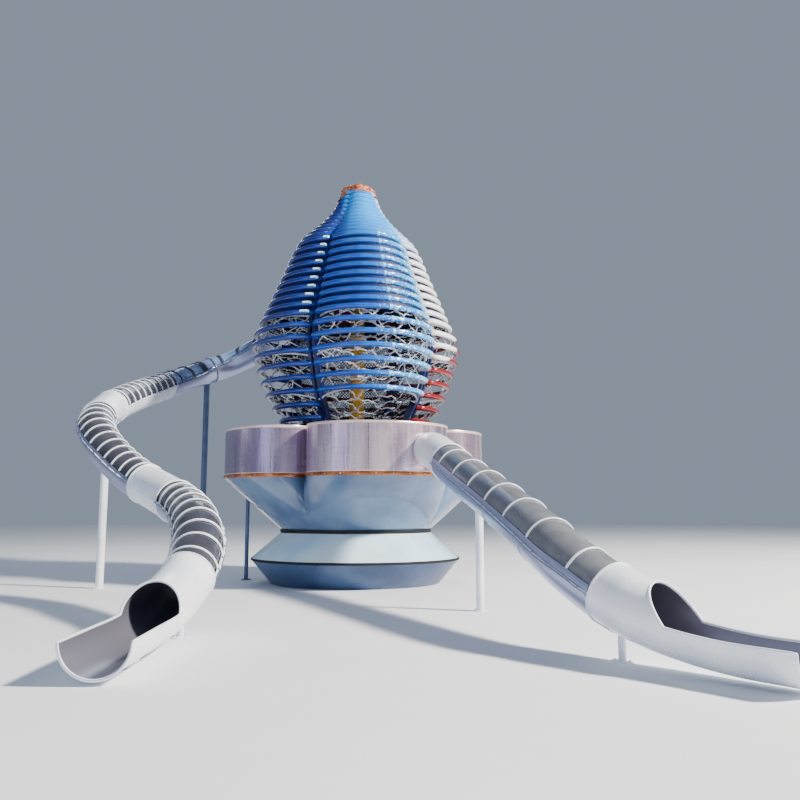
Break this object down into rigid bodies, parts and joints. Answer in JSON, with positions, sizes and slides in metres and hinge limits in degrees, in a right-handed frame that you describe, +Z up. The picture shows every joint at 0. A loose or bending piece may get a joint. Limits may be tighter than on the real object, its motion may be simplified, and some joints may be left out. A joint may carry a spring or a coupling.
{
  "type": "playground climbing tower with tube slides",
  "caption": "Bud-shaped climbing tower of bent pipes on a lobed deck and round base, with a long curved tube slide and a short straight one.",
  "frame": {"origin": "centre of the round base's flat bottom, on the ground and on the tower's axis", "axes": "+Z up along the tower's axis, -Y toward the front where both slides end, +X to the right seen from the front"},
  "size_m": [10.5452, 17.0769, 9.9903],
  "materials": {
    "seam_rubber": "matt",
    "base_paint": "satin paint",
    "shell_gelcoat": "glossy gelcoat",
    "gold_column": "gloss gold-coloured paint",
    "cap_paint": "satin copper-coloured paint",
    "left_pipes": "gloss paint, navy blue",
    "copper_band": "metallic copper-coloured paint",
    "grey_post": "satin paint",
    "deck_plate": "textured paint",
    "white_plastic": "glossy moulding",
    "white_post": "satin paint",
    "trough_steel": "brushed stainless sheet",
    "smoke_cover": "dark smoked clear sheet",
    "window_panel": "blue-tinted clear sheet",
    "frame_grey": "satin",
    "net_rope": "braided rope",
    "back_pipes": "gloss paint, red",
    "front_pipes": "gloss paint, bright blue fading to white",
    "right_pipes": "gloss paint, white fading to red",
    "clear_cover": "grey clear sheet",
    "polished_wall": "polished, slightly rippled sheet"
  },
  "bodies": {
    "root": {"base_seam": "seam_rubber", "base_shell": "base_paint", "bowl_shell": "shell_gelcoat", "centre_column": "gold_column", "crown_cap": "cap_paint", "crown_pipes": "left_pipes", "deck_edge_band": "copper_band", "deck_leg": "grey_post", "deck_plate": "deck_plate", "left_slide_bend": "white_plastic", "left_slide_bend_post": "white_post", "left_slide_end": "white_plastic", "left_slide_end_leg": "white_post", "left_slide_entry": "trough_steel", "left_slide_joint": "white_plastic", "left_slide_lower_cover": "smoke_cover", "left_slide_lower_hoops": "white_plastic", "left_slide_lower_trough": "trough_steel", "left_slide_middle_cover": "smoke_cover", "left_slide_middle_hoops": "white_plastic", "left_slide_middle_trough": "trough_steel", "left_slide_mouth_leg": "white_post", "left_slide_tall_post": "grey_post", "left_slide_upper_cover": "smoke_cover", "left_slide_upper_hoops": "white_plastic", "left_slide_upper_trough_1": "white_plastic", "left_slide_upper_trough_2": "white_plastic", "left_slide_windows_cover_1": "window_panel", "left_slide_windows_cover_2": "window_panel", "left_slide_windows_cover_3": "window_panel", "left_slide_windows_hoops": "frame_grey", "left_slide_windows_trough_1": "trough_steel", "left_slide_windows_trough_2": "trough_steel", "left_slide_windows_trough_3": "trough_steel", "net_floor_1": "net_rope", "net_floor_2": "net_rope", "net_floor_3": "net_rope", "petal_back_lower": "back_pipes", "petal_back_upper": "back_pipes", "petal_front_lower": "front_pipes", "petal_front_upper": "front_pipes", "petal_left_lower": "left_pipes", "petal_left_upper": "left_pipes", "petal_right_lower": "right_pipes", "petal_right_upper": "right_pipes", "right_slide_end": "white_plastic", "right_slide_end_leg": "white_post", "right_slide_entry": "trough_steel", "right_slide_post": "white_post", "right_slide_run_cover_1": "clear_cover", "right_slide_run_cover_2": "clear_cover", "right_slide_run_hoops": "white_plastic", "right_slide_run_trough_1": "trough_steel", "right_slide_run_trough_2": "trough_steel", "skirt_shell": "shell_gelcoat", "waist_seam": "seam_rubber", "wall_back": "polished_wall", "wall_front": "polished_wall", "wall_left": "polished_wall", "wall_right": "polished_wall"}
  },
  "joints": []
}
